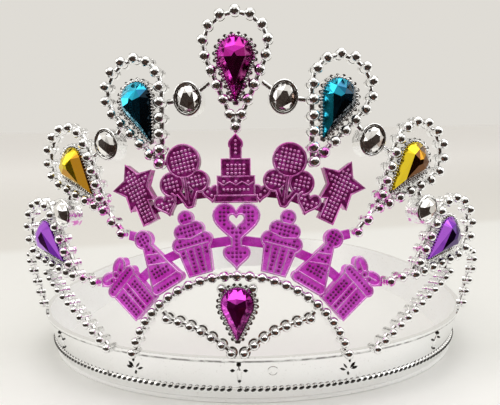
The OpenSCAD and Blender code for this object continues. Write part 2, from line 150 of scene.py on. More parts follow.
def finish_with(piece, kind, **settings):
    """Puts a modifier on a piece and applies it."""
    bpy.context.view_layer.objects.active = piece
    modifier = piece.modifiers.new("shape", kind)
    for name, value in settings.items():
        setattr(modifier, name, value)
    bpy.ops.object.modifier_apply(modifier=modifier.name)


def coat(piece, *finishes):
    """Gives a piece its finishes."""
    piece.data.materials.clear()
    for finish in finishes:
        piece.data.materials.append(finish)


class Wire:
    """A value in a material. A sign between two of them puts down the Math node for it."""

    def __init__(self, finish, socket):
        self.finish = finish
        self.socket = socket

    def __add__(self, other):
        return self.finish.math("ADD", self, other)

    def __sub__(self, other):
        return self.finish.math("SUBTRACT", self, other)

    def __rsub__(self, other):
        return self.finish.math("SUBTRACT", other, self)

    def __mul__(self, other):
        return self.finish.math("MULTIPLY", self, other)

    def __pow__(self, other):
        return self.finish.math("POWER", self, other)

    __radd__ = __add__
    __rmul__ = __mul__


class Finish:
    """A material while it is being mixed."""

    def __init__(self, name):
        self.material = bpy.data.materials.new(name)
        self.material.use_nodes = True
        self.tree = self.material.node_tree
        self.tree.nodes.clear()
        self.place = self.add("ShaderNodeTexCoord", {}, {}, "Object")

    def add(self, kind, settings, values, output=0):
        """Puts down one node: its settings first, then the values or wires of its sockets."""
        node = self.tree.nodes.new(kind)
        for name, value in settings.items():
            setattr(node, name, value)
        for name, value in values.items():
            if isinstance(value, Wire):
                self.tree.links.new(value.socket, node.inputs[name])
            else:
                node.inputs[name].default_value = value
        return Wire(self, node.outputs[output]) if node.outputs else None

    def math(self, operation, *values):
        """A sum that may have no sign of its own, such as an arc tangent."""
        return self.add("ShaderNodeMath", {"operation": operation}, dict(enumerate(values)))

    def grain(self, size, detail):
        """Soft noise whose lumps are about that size in metres."""
        return self.add("ShaderNodeTexNoise", {},
                        {"Vector": self.place, "Scale": 1 / size, "Detail": detail}, "Fac")

    def axis(self, name):
        """One of the coordinates, X, Y or Z."""
        return self.add("ShaderNodeSeparateXYZ", {}, {"Vector": self.place}, name)

    def turned_to(self, direction):
        """The surface's own normal, measured along a direction."""
        normal = self.add("ShaderNodeNewGeometry", {}, {}, "True Normal")
        return self.add("ShaderNodeVectorMath", {"operation": "DOT_PRODUCT"},
                        {0: normal, 1: direction}, "Value")

    def step(self, value, low, high):
        """0 below low, 1 above high, and a smooth rise between them."""
        return self.add("ShaderNodeMapRange", {"interpolation_type": "SMOOTHSTEP"},
                        {"Value": value, "From Min": low, "From Max": high}, "Result")

    def blend(self, share, first, second):
        """Two colours, the second one by its share. Sockets 6 and 7 are the node's colours."""
        return self.add("ShaderNodeMix", {"data_type": "RGBA"},
                        {"Factor": share, 6: first, 7: second}, 2)

    def bump(self, height, distance, strength, below=None):
        """Relief as high as distance in metres, on top of the relief below."""
        values = {"Height": height, "Distance": distance, "Strength": strength}
        if below:
            values["Normal"] = below
        return self.add("ShaderNodeBump", {}, values)

    def done(self, **shader):
        """Gives the shader its values and wires, and returns the material."""
        named = {name.replace("_", " "): value for name, value in shader.items()}
        surface = self.add("ShaderNodeBsdfPrincipled", {}, named)
        self.add("ShaderNodeOutputMaterial", {}, {"Surface": surface})
        return self.material


def silver_plate(name, wave=0.009, dents=0.00003, lip_shade_height=0.0, satin=0.0, drift=None):
    """Bright silver plating on moulded plastic: a little wavy and dented, with dull specks and
    a warm bloom. A streaked grey line of painted shade goes at the height given for a lip,
    satin plating is thinner, and drift is a function that lays what has settled on the plate
    over its colour."""
    plate = Finish(name)
    bloom = plate.grain(0.012, 3)
    specks = plate.step(plate.grain(0.0006, 1), 0.66, 0.74)
    colour = plate.blend(bloom, bright_silver, warm_silver)
    colour = plate.blend(specks * 0.35, colour, dull_speck)
    if drift:
        colour = drift(plate, colour)
    # painted shade: a streaked grey line at that height, where a lip stands over the face
    if lip_shade_height:
        height = plate.axis("Z")
        line = (plate.step(height, lip_shade_height - 0.0006, lip_shade_height - 0.0003)
                * (1 - plate.step(height, lip_shade_height + 0.0002, lip_shade_height + 0.0005)))
        streaks = plate.step(plate.grain(0.0022, 4), 0.4, 0.58)
        colour = plate.blend(line * (0.25 + 0.6 * streaks), colour, lip_shade_grey)
    waves = plate.bump(plate.grain(wave, 1), 0.00035, 0.35)
    fine = plate.bump(plate.grain(0.0009, 2), dents, 0.3, waves)
    dull = 0.045 + satin + 0.05 * plate.grain(0.004, 2) + 0.2 * specks
    return plate.done(Base_Color=colour, Metallic=1.0 - satin, Roughness=dull, Normal=fine)


bpy.ops.object.select_all(action="DESELECT")
bpy.ops.mesh.primitive_circle_add(vertices=stations, radius=half_width,
                                  location=(0, widest_y, 0))
band = bpy.context.active_object
band.name = "silver_band"
bpy.ops.object.transform_apply(location=True, rotation=True, scale=True)
edit(band)
pick(band)
width, front, back = half_width, half_width, half_width
level = None
# one ring is drawn round the section, and at each corner of it stretched to the outline there
for out, height in band_section + band_section[:1]:
    if level is not None:
        bpy.ops.mesh.extrude_region_move(
            TRANSFORM_OT_translate={"value": (0, 0, height - level)})
    ring = {corner.index for corner in bmesh.from_edit_mesh(band.data).verts
            if corner.select}
    reach = out + face_out(height)
    middle = (0, widest_y, height)
    stretch(band, ((half_width + reach) / width, 1, 1),
            lambda corner: corner.index in ring, middle)
    for half, old, new in ((-1, front, front_reach + reach), (1, back, back_reach + reach)):
        stretch(band, (1, new / old, 1),
                lambda corner: corner.index in ring and (corner.co.y - widest_y) * half > 1e-6,
                middle)
    pick(band, lambda corner: corner.index in ring)
    width, front, back, level = (half_width + reach, front_reach + reach,
                                 back_reach + reach, height)
close_edit()
settle(band, 35)
bpy.ops.mesh.primitive_cylinder_add(vertices=32, radius=hole_size / 2,
                                    depth=drill_length)
drill = bpy.context.active_object
drill.matrix_world = band_frame(hole_turn, hole_height)
finish_with(band, "BOOLEAN", object=drill, operation="DIFFERENCE", solver="EXACT")
bpy.data.objects.remove(drill)
finish_with(band, "BEVEL", width=edge_round, segments=2, limit_method="ANGLE",
            angle_limit=radians(24))
settle(band, 32)

bpy.ops.mesh.primitive_torus_add(major_radius=ring_size / 2 - ring_wire, minor_radius=ring_wire,
                                 major_segments=48, minor_segments=10)
back_ring = bpy.context.active_object
back_ring.name = "back_ring"
edit(back_ring)
stretch(back_ring, (1, 1, 0.2), lambda corner: corner.co.z < -0.4 * ring_wire,
        (0, 0, -0.8 * ring_wire))
close_edit()
back_ring.data.transform(band_frame(ring_turn, ring_height))
settle(back_ring, 35)

silver = silver_plate("silver_plate")
# the band's plate carries a streaked grey line of painted shade under its top lip
band_plate = silver_plate("band_plate", lip_shade_height=top_lip_height)
band_inside = silver_plate("band_inside", satin=0.4)
band_foot = silver_plate("band_foot", satin=0.65)
coat(band, band_plate, band_inside, band_foot)
coat(back_ring, silver)
# the inner wall takes the band's second finish, and the foot its third
for face in band.data.polygons:
    inward = Vector((-face.center.x, widest_y - face.center.y, 0)).normalized()
    if face.normal.dot(inward) > 0.6:
        face.material_index = 1
    elif face.center.z < foot_height:
        face.material_index = 2
for piece in (band, back_ring):
    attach(piece, "root")
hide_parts("band")


# The rope along the band's ridge is a row of small slanted beads, moulded in one with it and
# plated with it. They run all the way round the hoop, and their crests are painted dark grey:
# painted shade.
rope_pitch = 0.00202
rope_slant = radians(28)
shade_dark, shade_pale = (0.03, 0.028, 0.026, 1), (0.12, 0.115, 0.11, 1)


def join(parts, name):
    take(*parts)
    bpy.ops.object.join()
    parts[0].name = name
    return parts[0]


def copies(original, spots, name):
    """Copies of one small shape, each with its own mesh, joined into one piece."""
    parts = []
    for spot in spots:
        part = original.copy()
        part.data = original.data.copy()
        part.data.transform(spot)
        bpy.context.scene.collection.objects.link(part)
        parts.append(part)
    bpy.data.objects.remove(original)
    return join(parts, name)


def rope_turns():
    """Turns round the hoop that lie one pitch apart along it."""
    turns, walked, turn, step = [0.0], 0.0, 0.0, radians(0.05)
    while turn < 2 * pi:
        walked += step * hypot(half_width * cos(turn), hoop_reach(turn) * sin(turn))
        turn += step
        if walked >= rope_pitch:
            turns.append(turn)
            walked -= rope_pitch
    return turns[:-1] if walked < 0.6 * rope_pitch else turns


def rope_row(name, radius, segments, shape, out):
    """Beads stretched from balls, slanted and set down along the ridge."""
    bpy.ops.mesh.primitive_uv_sphere_add(segments=segments, ring_count=6, radius=radius)
    bead = bpy.context.active_object
    edit(bead)
    stretch(bead, shape)
    close_edit()
    bead.data.transform(Matrix.Rotation(rope_slant, 4, "Z"))
    return copies(bead, [band_frame(turn, ridge_height, out) for turn in rope_turns()], name)


rope = rope_row("rope_beads", radius=0.00082, segments=10, shape=(1.15, 0.7, 0.5), out=0.0002)
# the crests take a near black plate, painted shade over the silver beads
crests = rope_row("rope_crests", radius=0.00066, segments=8, shape=(1.3, 0.78, 0.6),
                  out=0.00044)
shade_paint = Finish("painted_shade_plate")
shade_colour = shade_paint.blend(shade_paint.grain(0.0012, 2), shade_dark, shade_pale)
painted_shade_plate = shade_paint.done(Base_Color=shade_colour, Metallic=1.0,
                           Roughness=0.12 + 0.1 * shade_paint.grain(0.001, 1),
                           Normal=shade_paint.bump(shade_paint.grain(0.0006, 2), 0.00002, 0.3))
for piece, plate in ((rope, silver), (crests, painted_shade_plate)):
    settle(piece)
    coat(piece, plate)
    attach(piece, "root")


# The small marks on the band's face are cast with it in low relief: bars with leaves and beads
# at the middle and the sides, sprouts of six leaves between them, and one thin ring.
wall_slope = 0.131
ruler_height = 0.05
bar_places, bar_height = (-0.0685, 0, 0.0685), 0.0106
sprout_places, sprout_height = (-0.0325, 0.0325), 0.0084
mark_ring_place, mark_ring_height = 0.0097, 0.0104
mark_ring_radius, mark_ring_wire = 0.0014, 0.00014
# length, width and rise of each leaf, its turn in degrees, and its stalk's place across and up
bar_leaf = (0.0066, 0.0015, 0.0004, 0, 0, -0.0046)
bar_end_leaves = [(0.0015, 0.0014, 0.0007, 0, 0, 0.0013),
                  (0.0015, 0.0006, 0.0006, -90, 0.0011, 0),
                  (0.0015, 0.0006, 0.0006, 90, -0.0011, 0),
                  (0.0011, 0.0011, 0.0007, 0, 0, -0.0039)]
# the same for a sprout, whose leaves point away from its middle and start a little out from it
sprout_leaves = [(length, 0.0006, 0.0005, turn, -out * sin(radians(turn)),
                  out * cos(radians(turn)))
                 for turn, length, out in ((0, 0.0014, 0.0025), (38, 0.0024, 0.0007),
                                           (-38, 0.0024, 0.0007), (74, 0.0021, 0.0009),
                                           (-74, 0.0021, 0.0009), (180, 0.0014, 0.0004))]


def wall_reach(height):
    """The reach of the wall of bead work in front, which slopes back above the band."""
    return front_reach - wall_slope * (height - band_height)


def turn_of(along):
    """The turn at a distance along the crown's front, read off a ruler bent round the hoop."""
    walked, turn, step = 0.0, 0.0, radians(2)
    while True:
        run = step * hypot(half_width * cos(turn + step / 2),
                           wall_reach(ruler_height) * sin(turn + step / 2))
        if walked + run > abs(along):
            return copysign(turn + step * (abs(along) - walked) / run, along)
        walked += run
        turn += step


def leaf(length, width, rise):
    """A pointed leaf lying on the face, from its stalk at the origin upwards."""
    bpy.ops.mesh.primitive_uv_sphere_add(segments=10, ring_count=8, radius=1,
                                         rotation=(pi / 2, 0, 0))
    shape = bpy.context.active_object
    bpy.ops.object.transform_apply(location=False, rotation=True, scale=True)
    edit(shape)
    stretch(shape, (0.5, 1, 0.5), lambda corner: abs(corner.co.y) > 0.6)
    stretch(shape, (width / 2, length / 2, rise))
    bpy.ops.transform.translate(value=(0, length / 2, 0))
    close_edit()
    return shape


def cast_group(leaves, places, height, name):
    """Leaves joined into one mark, which is set down on the band's face at each place."""
    parts = []
    for length, width, rise, turn, across, up in leaves:
        part = leaf(length, width, rise)
        part.data.transform(Matrix.Translation((across, up, 0))
                            @ Matrix.Rotation(radians(turn), 4, "Z"))
        parts.append(part)
    return copies(join(parts, name), [band_frame(turn_of(along), height) for along in places],
                  name)


bar_bodies = cast_group([bar_leaf], bar_places, bar_height, "bar_bodies")
bar_ends = cast_group(bar_end_leaves, bar_places, bar_height, "bar_ends")
sprouts = cast_group(sprout_leaves, sprout_places, sprout_height, "sprout_marks")

bpy.ops.mesh.primitive_torus_add(major_radius=mark_ring_radius, minor_radius=mark_ring_wire,
                                 major_segments=32, minor_segments=8)
mark_ring = bpy.context.active_object
edit(mark_ring)
stretch(mark_ring, (1, 1, 0.6), lambda corner: corner.co.z > mark_ring_wire / 3)
close_edit()
mark_ring.data.transform(band_frame(turn_of(mark_ring_place), mark_ring_height))
pale_marks = join([bar_bodies, mark_ring], "pale_marks")
dark_marks = join([bar_ends, sprouts], "dark_marks")
# the bar ends and the sprouts are painted dark like the rope's crests, the same painted shade
for piece, plate in ((pale_marks, silver), (dark_marks, painted_shade_plate)):
    settle(piece)
    coat(piece, plate)
    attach(piece, "root")


# The bead work is moulded in plastic and plated: petals of beads round milled settings, an
# arch over the pendant, and strands that tie them to the band. The lacquer of the frieze
# has drifted onto the beads beside it, and some lies round the top stone.
# the frieze's rows lie on arcs round one point, the middle of the fan, at this height
fan_height = 0.0058
mean_reach = 0.0705
settled_lacquer, settled_share = (0.75, 0.06, 0.6, 1), 0.85
# where the drift starts and ends, out from the middle of the fan and round from its top
drift_inside, drift_outside, drift_ends = (0.0318, 0.0335), (0.071, 0.0745), (1.0, 1.1)
top_stone_height, top_drift_edge, top_drift_squeeze = 0.094, (0.0098, 0.0112), 1.5
bead_work = ["arch", "pendant_setting", "petal_top"]
for side in ("left", "right"):
    bead_work += [kind + side for kind in (
        "swag_", "petal_blue_", "petal_yellow_", "petal_purple_", "cup_high_",
        "cup_middle_", "cup_low_", "link_strand_", "tip_strand_", "diagonal_strand_",
        "outer_strand_")]


def lacquer_drift(plate, colour):
    """Lays the drifted lacquer over the plate's colour, in patches on what is turned to the
    front, over the frieze's part of the fan and round the top stone."""
    right = plate.axis("X") * (1 / half_width)
    ahead = (widest_y - plate.axis("Y")) * (1 / front_reach)
    around = plate.math("ARCTAN2", right, ahead) * mean_reach
    rise = plate.axis("Z") - fan_height
    radius = (around * around + rise * rise) ** 0.5
    turn = plate.math("ARCTAN2", plate.math("ABSOLUTE", around), rise)
    mist = plate.step(radius, *drift_inside) * (1 - plate.step(radius, *drift_outside))
    mist = mist * (1 - plate.step(turn, *drift_ends))
    across = plate.axis("X") * top_drift_squeeze
    up = plate.axis("Z") - top_stone_height
    round_stone = 1 - plate.step((across * across + up * up) ** 0.5, *top_drift_edge)
    mist = plate.math("MAXIMUM", mist, round_stone)
    mist = mist * plate.step(plate.turned_to((0, -1, 0)), -0.3, 0.1)
    patches = plate.step(plate.grain(0.0016, 2), 0.5, 0.62)
    return plate.blend(mist * patches * settled_share, colour, settled_lacquer)


sprayed = silver_plate("sprayed_silver", wave=0.003, dents=0.0004, drift=lacquer_drift)
for node in bead_work:
    coat(nodes[node], sprayed)


# Each drop stone sits in a setting whose edge is milled all round into small rounded teeth.
# They are moulded with the setting and plated, and stand on its rim from the stone outwards.
tooth_pitches = 24
tooth_length, tooth_width, tooth_rise = 0.0013, 0.0008, 0.00055
tooth_lap = 0.0001
setting_face = -0.0005
drop_size = (0.0178, 0.0096)
pendant_size = (0.014, 0.0087)
pendant_height = 0.0272
wall_stand = 0.0015
head_to_stone = 0.0071
# place of the middle of the petal's head, azimuth, lean and turn in degrees
petal_poses = {"top": ((0, -0.0773, 0.1013), 0, -7.7, 0),
               "blue": ((0.0303, -0.0745, 0.0891), 19.8, -8.9, 26.3),
               "yellow": ((0.0543, -0.063, 0.0695), 33.1, -4.4, 48.9),
               "purple": ((0.0663, -0.0561, 0.0454), 42.4, -1.1, 59.9)}


def pose_frame(pose, side):
    """A frame on the bead work: across, up and out, mirrored for the other side."""
    (x, y, z), facing, lean, turn = pose
    return (Matrix.Translation((side * x, y, z))
            @ Matrix.Rotation(side * radians(facing), 4, "Z")
            @ Matrix.Rotation(radians(90 + lean), 4, "X")
            @ Matrix.Rotation(-side * radians(turn), 4, "Z"))


def wall_frame(along, height, turn, side=1):
    """A frame on the wall of bead work, a bead's half width in front of it."""
    around = turn_of(along)
    reach = wall_reach(height)
    facing = atan2(sin(around) / half_width, cos(around) / reach)
    point = (half_width * sin(around) + wall_stand * sin(facing),
             widest_y - reach * cos(around) - wall_stand * cos(facing), height)
    lean = -degrees(atan(wall_slope * cos(facing) ** 2))
    return pose_frame((point, degrees(facing), lean, turn), side)


def tooth_spots(size):
    """Places round a drop stone, counted from its top down each side to its tip."""
    length, width = size
    round_end = width / 2
    dip = asin(round_end / (length - round_end))
    out = round_end + tooth_length / 2 - tooth_lap
    arc = out * (pi / 2 + dip)
    run = (length - round_end) * cos(dip)
    spots = []
    for side in (-1, 1):
        for i in range(tooth_pitches):
            walked = (i + 0.5) / tooth_pitches * (arc + run)
            angle = min(walked, arc) / out
            rest = walked - min(walked, arc)
            across = side * (out * sin(angle) - rest * sin(dip))
            up = length / 2 - round_end + out * cos(angle) - rest * cos(dip)
            spots.append(Matrix.Translation((across, up, setting_face))
                         @ Matrix.Rotation(-side * angle, 4, "Z"))
    return spots


bpy.ops.mesh.primitive_uv_sphere_add(segments=8, ring_count=6, radius=0.5,
                                     rotation=(pi / 2, 0, 0))
tooth = bpy.context.active_object
bpy.ops.object.transform_apply(location=False, rotation=True, scale=True)
edit(tooth)
stretch(tooth, (tooth_width, tooth_length, 2 * tooth_rise))
stretch(tooth, (1, 1, 0.2), lambda corner: corner.co.z < -0.1 * tooth_rise)
close_edit()
tooth_places = [wall_frame(0, pendant_height, 0) @ spot for spot in tooth_spots(pendant_size)]
for name, pose in petal_poses.items():
    for side in ((1,) if name == "top" else (1, -1)):
        stone_frame = pose_frame(pose, side) @ Matrix.Translation((0, -head_to_stone, 0))
        tooth_places += [stone_frame @ spot for spot in tooth_spots(drop_size)]
teeth = copies(tooth, tooth_places, "setting_teeth")
settle(teeth)
coat(teeth, sprayed)
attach(teeth, "root")


# The frieze is two rows of party motifs, cast flat with rounded ribs along their edges and
# over their drawing and with rows of small studs between, and sprayed with clear magenta
# lacquer over the silver plate. Flat webs join them.
edge_rib, line_rib = 0.00032, 0.00024
stud_pitch, stud_width = 0.00112, 0.00088
stud_rows, stud_columns = range(-10, 11), range(-8, 9)
probe_height, probe_reach = 0.002, 0.55 * stud_width
rib_slack, stud_slack = 2e-5, 3e-5
# distance of each row from the middle of the fan, and the turn from one motif to the next
row_up = (0.0611, radians(13.8))
row_low = (0.0428, radians(16.6))


def arc(across, up, radius, start, end):
    """Points round a part of a circle, in degrees from its top to the right."""
    turns = [radians(start + (end - start) * i / 10) for i in range(11)]
    return [(across + radius * sin(turn), up + radius * cos(turn)) for turn in turns]


# lines of each drawing in millimetres across and up from the middle of the motif
cake_lines = [[(-5, -7.2), (5, -7.2)], [(-3.9, -2), (3.9, -2)], [(-1.5, 2.8), (1.5, 2.8)],
              [(-5, -3.4), (-3.4, -4.4), (-1.7, -3.4), (0, -4.4), (1.7, -3.4), (3.4, -4.4),
               (5, -3.4)]]
balloon_lines = [arc(-0.8, 4, 4.6, 60, 265), [(-0.5, -0.6), (0, -8)]]
cupcake_lines = [[(-4.6, -1), (4.6, -1)], [(-2.5, -1.4), (-1.9, -8.8)], [(0, -1.4), (0, -8.8)],
                 [(2.5, -1.4), (1.9, -8.8)], [(-3.8, 2), (0, 1.2), (3.8, 2)],
                 [(-1.8, 5.3), (1.8, 5.3)]]
hat_lines = [[(-4.4, -6.2), (4.4, -6.2)], [(-3.3, -2.6), (2.4, -0.4)],
             [(-2.2, 0.8), (1.4, 2.3)]]
gift_lines = [[(-5, 0.5), (5, 0.5)], [(-1, 0.5), (-0.9, -8.9)], [(1, 0.5), (0.9, -8.9)],
              arc(0, 4.6, 1, 0, 360), [(1, 4.8), (3.9, 5.8)], [(-1, 4.8), (-3.9, 5.8)]]
# row, place in steps from its middle, and drawing of each motif
rows = {"frieze_upper": [(row_up, 0, cake_lines), (row_up, 0.5, []),
                         (row_up, 1, balloon_lines), (row_up, 1.5, []), (row_up, 2, [])],
        "frieze_lower": [(row_low, 0, []), (row_low, 1, cupcake_lines),
                         (row_low, 2, hat_lines), (row_low, 3, gift_lines)]}


def motifs_of(node):
    """Each motif of a row, with its frame and its drawing, mirrored on the left."""
    for (radius, step), place, lines in rows[node]:
        angle = place * step
        for side in ((1,) if place == 0 else (1, -1)):
            spot = wall_frame(radius * sin(angle), fan_height + radius * cos(angle),
                              degrees(angle), side)
            yield spot, [[(side * across / 1000, up / 1000) for across, up in line]
                         for line in lines]


def make_rib(piece, radius):
    """Rounds the edges of a wire into one rib."""
    take(piece)
    bpy.ops.object.convert(target="CURVE")
    piece.data.bevel_depth = radius
    piece.data.bevel_resolution = 2
    piece.data.use_fill_caps = True
    bpy.ops.object.convert(target="MESH")


def edge_ribs(node):
    """Ribs along the front edges of a row's motifs."""
    piece = bpy.data.objects.new(node + "_edges", nodes[node].data.copy())
    bpy.context.scene.collection.objects.link(piece)
    views = [(spot.inverted(), spot.to_3x3().col[2]) for spot, lines in motifs_of(node)]
    edit(piece)
    bpy.ops.mesh.select_all(action="SELECT")
    bpy.ops.mesh.remove_doubles(threshold=1e-6)
    bpy.ops.mesh.select_mode(type="FACE")
    shape = bmesh.from_edit_mesh(piece.data)
    for face in shape.faces:
        middle = face.calc_center_median()
        face.select = any(abs((view @ middle).z) < rib_slack
                          and face.normal.dot(out) > 0.9999 for view, out in views)
    shape.select_flush_mode()
    bmesh.update_edit_mesh(piece.data)
    bpy.ops.mesh.select_all(action="INVERT")
    bpy.ops.mesh.delete(type="FACE")
    bpy.ops.mesh.select_all(action="SELECT")
    bpy.ops.mesh.region_to_loop()
    bpy.ops.mesh.select_all(action="INVERT")
    bpy.ops.mesh.delete(type="EDGE_FACE")
    close_edit()
    make_rib(piece, edge_rib)
    return piece


def line_ribs(node):
    """Ribs along the lines of the drawings: one corner, drawn out from point to point."""
    parts = []
    for spot, lines in motifs_of(node):
        for line in lines:
            bpy.ops.mesh.primitive_plane_add(size=0.001)
            part = bpy.context.active_object
            edit(part)
            pick(part)
            bpy.ops.mesh.merge(type="CENTER")
            bpy.ops.transform.translate(value=(*line[0], 0))
            for (across, up), (next_across, next_up) in zip(line, line[1:]):
                bpy.ops.mesh.extrude_region_move(TRANSFORM_OT_translate={
                    "value": (next_across - across, next_up - up, 0)})
            close_edit()
            part.data.transform(spot)
            make_rib(part, line_rib)
            parts.append(part)
    return parts


def new_stud():
    """A small flat dome, the upper half of a ball."""
    bpy.ops.mesh.primitive_uv_sphere_add(segments=8, ring_count=6, radius=stud_width / 2)
    stud = bpy.context.active_object
    edit(stud)
    pick(stud)
    bpy.ops.mesh.bisect(plane_co=(0, 0, 0), plane_no=(0, 0, 1), clear_inner=True)
    stretch(stud, (0.9, 0.9, 0.85), lambda corner: corner.co.z > 0.0001)
    close_edit()
    return stud


def stud_fits(spot, across, up, face, ribs):
    """Whether eight probes round a stud's place all meet the flat face, and none a rib."""
    inward = -spot.to_3x3().col[2]
    for around in range(8):
        turn = around * pi / 4
        start = spot @ Vector((across + probe_reach * cos(turn), up + probe_reach * sin(turn),
                               probe_height))
        hit = face.ray_cast(start, inward, 2 * probe_height)
        if hit[0] is None or abs(hit[3] - probe_height) >= stud_slack:
            return False
        if ribs.ray_cast(start, inward, probe_height)[0] is not None:
            return False
    return True


def stud_spots(node, ribs):
    """Places for studs, in rows on each motif's face and clear of its ribs."""
    held = bpy.context.evaluated_depsgraph_get()
    face = BVHTree.FromObject(nodes[node], held)
    raised = BVHTree.FromObject(ribs, held)
    return [spot @ Matrix.Translation((column * stud_pitch, row * stud_pitch, 0))
            for spot, lines in motifs_of(node)
            for row in stud_rows
            for column in stud_columns
            if stud_fits(spot, column * stud_pitch, row * stud_pitch, face, raised)]


def magenta_lacquer(name, deep, vivid, metal, pools):
    """Magenta lacquer over silver plate, thinner and paler in patches. Where it has pooled,
    by that share, less of the metal shows through it."""
    lacquer = Finish(name)
    patches = lacquer.grain(0.006, 3)
    colour = lacquer.blend(lacquer.step(patches, 0.3, 0.7), deep, vivid)
    sheen = lacquer.grain(0.0012, 2)
    pooled = tuple(0.4 * part for part in deep[:3]) + (1,)
    colour = lacquer.blend(pools * lacquer.step(sheen, 0.45, 0.6), colour, pooled)
    grainy = lacquer.bump(sheen, 0.00006, 0.4)
    return lacquer.done(Base_Color=colour, Metallic=metal, Roughness=0.2 + 0.12 * sheen,
                        Coat_Weight=0.6, Coat_Roughness=0.06, Normal=grainy)


# The ribs are lacquered paler than the faces they stand on, a painted highlight; the upper
# row's studs are paler too, a painted highlight, and the lower row's studs dark, a painted
# shade.
upper_face = magenta_lacquer("upper_lacquer", (0.26, 0.006, 0.14, 1), (0.66, 0.045, 0.48, 1),
                             metal=0.6, pools=0.7)
upper_rib_highlight = magenta_lacquer("upper_rib_highlight", (0.75, 0.1, 0.55, 1), (1.0, 0.45, 0.9, 1),
                             metal=0.7, pools=0.4)
upper_stud_highlight = magenta_lacquer("upper_stud_highlight", (0.9, 0.25, 0.72, 1), (1.0, 0.55, 0.94, 1),
                              metal=0.75, pools=0.3)
lower_face = magenta_lacquer("lower_lacquer", (0.8, 0.035, 0.72, 1), (1.0, 0.15, 1.0, 1),
                             metal=0.3, pools=0.3)
lower_rib_highlight = magenta_lacquer("lower_rib_highlight", (1.0, 0.25, 0.95, 1), (1.0, 0.55, 1.0, 1),
                             metal=0.6, pools=0.15)
lower_stud_shade = magenta_lacquer("lower_stud_shade", (0.17, 0.001, 0.12, 1), (0.32, 0.006, 0.26, 1),
                              metal=0.5, pools=0.3)
for node, face_coat, rib_coat, stud_coat in (
        ("frieze_upper", upper_face, upper_rib_highlight, upper_stud_highlight),
        ("frieze_lower", lower_face, lower_rib_highlight, lower_stud_shade)):
    coat(nodes[node], face_coat)
    ribs = join([edge_ribs(node)] + line_ribs(node), node + "_ribs")
    studs = copies(new_stud(), stud_spots(node, ribs), node + "_studs")
    for piece, lacquer in ((ribs, rib_coat), (studs, stud_coat)):
        settle(piece)
        coat(piece, lacquer)
        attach(piece, "root")


# The drop stones are cut from clear acrylic with coloured foil behind: pink at the top and in
# the pendant, then blue, yellow and purple outwards. Each is glued into its milled setting.
lamp_side, table_side = (-0.62, 0, 0.78), (0, 0, -1)
facet_mix = (17.3, 3.1, 11.7)


def foil_stone(name, bright, middle, dark, lift=0.0):
    """Foil seen through cut acrylic, with light painted on by facing: facets that face up and
    left get a painted highlight from the lamp, those that face well down a painted reflection
    of the table, and the rest painted shade, no two of quite the same tone. Lift makes all of
    them lighter."""
    stone = Finish(name)
    from_lamp = stone.turned_to(lamp_side)
    from_table = stone.step(stone.turned_to(table_side), 0.3, 0.42)
    odd = stone.math("FRACT", stone.turned_to(facet_mix))
    cloud = stone.grain(0.004, 2)
    light = from_lamp * 1.9 + odd * 0.7 + cloud * 0.3 + lift + 1.3 * from_table
    colour = stone.blend(stone.step(light, 0.3, 0.75), dark, middle)
    colour = stone.blend(stone.step(light, 0.85, 1.3), colour, bright)
    ripple = stone.bump(stone.grain(0.005, 0), 0.00012, 0.2)
    return stone.done(Base_Color=colour, Metallic=1.0, Roughness=0.08 + 0.08 * cloud,
                      Coat_Weight=0.5, Coat_Roughness=0.02, Normal=ripple)


pink_foil = foil_stone("pink_foil", (0.8, 0.02, 0.6, 1), (0.4, 0.0, 0.22, 1),
                       (0.17, 0.0, 0.09, 1))
rose_foil = foil_stone("rose_foil", (0.95, 0.06, 0.85, 1), (0.66, 0.01, 0.5, 1),
                       (0.26, 0.0, 0.18, 1), lift=0.2)
blue_foil = foil_stone("blue_foil", (0.02, 0.58, 0.84, 1), (0.0, 0.17, 0.34, 1),
                       (0.0, 0.02, 0.04, 1))
yellow_foil = foil_stone("yellow_foil", (0.98, 0.74, 0.02, 1), (0.52, 0.24, 0.0, 1),
                         (0.14, 0.045, 0.0, 1))
purple_foil = foil_stone("purple_foil", (0.5, 0.12, 0.85, 1), (0.18, 0.012, 0.44, 1),
                         (0.045, 0.0, 0.13, 1))
coat(nodes["drop_pink"], pink_foil)
coat(nodes["pendant_stone"], rose_foil)
for side in ("left", "right"):
    coat(nodes["drop_blue_" + side], blue_foil)
    coat(nodes["drop_yellow_" + side], yellow_foil)
    coat(nodes["drop_purple_" + side], purple_foil)


# Each cup has a rounded lip round its oval stone, moulded and plated with the cup. The cups
# stand between the petals, two high, two halfway and two low.
lip_ring_radius, lip_ring_wire, lip_ring_shape = 0.0038, 0.0004, (0.98, 1.175, 1)
# distance along the crown, height, and turn in degrees
cup_places = [(0.0132, 0.0864, 9), (0.039, 0.074, 29), (0.0592, 0.0527, 51)]

bpy.ops.mesh.primitive_torus_add(major_radius=lip_ring_radius, minor_radius=lip_ring_wire,
                                 major_segments=40, minor_segments=8)
lip_ring = bpy.context.active_object
edit(lip_ring)
stretch(lip_ring, lip_ring_shape)
stretch(lip_ring, (1, 1, 0.3), lambda corner: corner.co.z < -lip_ring_wire / 4)
close_edit()
lips = copies(lip_ring, [wall_frame(*place, side) for place in cup_places
                         for side in (1, -1)], "cup_lips")
settle(lips)
coat(lips, sprayed)
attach(lips, "root")


# The oval stones between the petals are mirror-backed acrylic, cut with six sides round a
# flat table, and glued into their cups.
# their facets too are painted light and shade by facing, lifted towards white
mirror_back = foil_stone("mirror_stone", (0.97, 0.96, 0.95, 1), (0.8, 0.77, 0.74, 1),
                         (0.42, 0.28, 0.22, 1), lift=0.95)
for place in ("high", "middle", "low"):
    for side in ("left", "right"):
        coat(nodes[f"oval_{place}_{side}"], mirror_back)


# The table is a plain pale top, a little grey, with a painted pool of light just in front of
# the crown.
# A slanting edge parts it from a greyer stretch behind, which is painted paler with distance as
# painted light.
painted_light_in_front, grey_around = (0.97, 0.97, 0.96, 1), (0.815, 0.815, 0.795, 1)
grey_behind, painted_light_far_off = (0.73, 0.715, 0.68, 1), (0.985, 0.97, 0.96, 1)
speckle_grey = (0.6, 0.6, 0.6, 1)
edge_slant = 0.31

